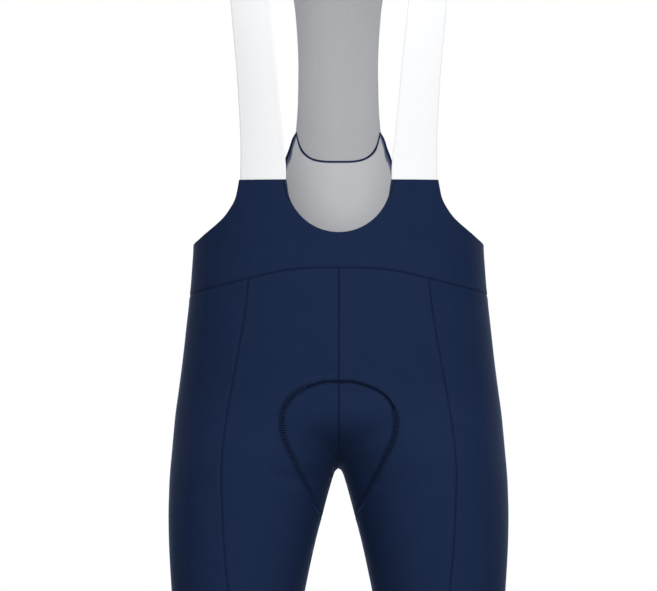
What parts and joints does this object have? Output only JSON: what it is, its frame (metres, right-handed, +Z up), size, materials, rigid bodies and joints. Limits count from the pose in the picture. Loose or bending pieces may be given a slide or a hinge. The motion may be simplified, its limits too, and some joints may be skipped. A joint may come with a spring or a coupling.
{
  "type": "cycling bib shorts",
  "caption": "Close-fitting cycling shorts with a low scooped bib, wide shoulder straps, a mesh back and a sewn-in seat pad, filled out as worn.",
  "frame": {"origin": "midway between the two straps' undersides at the top of the shoulders, where the wearer carries the garment", "axes": "+Z up, -Y towards the garment's front, +X towards the wearer's left"},
  "size_m": [0.3466, 0.2249, 0.8993],
  "materials": {
    "shorts_knit": "smooth, dense warp knit of polyamide and elastane, matt with a faint sheen",
    "band_knit": "firm elastic knit, matt",
    "grey_lining": "fine heathered knit, matt",
    "grey_mesh": "light, fine-holed mesh knit, matt",
    "strap_webbing": "flat elastic webbing, matt",
    "pad_cloth": "brushed knit over foam, soft and matt"
  },
  "bodies": {
    "root": {"front_bib": "shorts_knit", "back_bib": "shorts_knit", "back_lining": "grey_lining", "mesh_back": "grey_mesh", "front_panel_left": "shorts_knit", "front_panel_right": "shorts_knit", "back_panel_left": "shorts_knit", "back_panel_right": "shorts_knit", "side_panel_left": "shorts_knit", "side_panel_right": "shorts_knit", "leg_band_left": "band_knit", "leg_band_right": "band_knit", "seat_pad": "pad_cloth", "strap_left": "strap_webbing", "strap_right": "strap_webbing"}
  },
  "joints": []
}
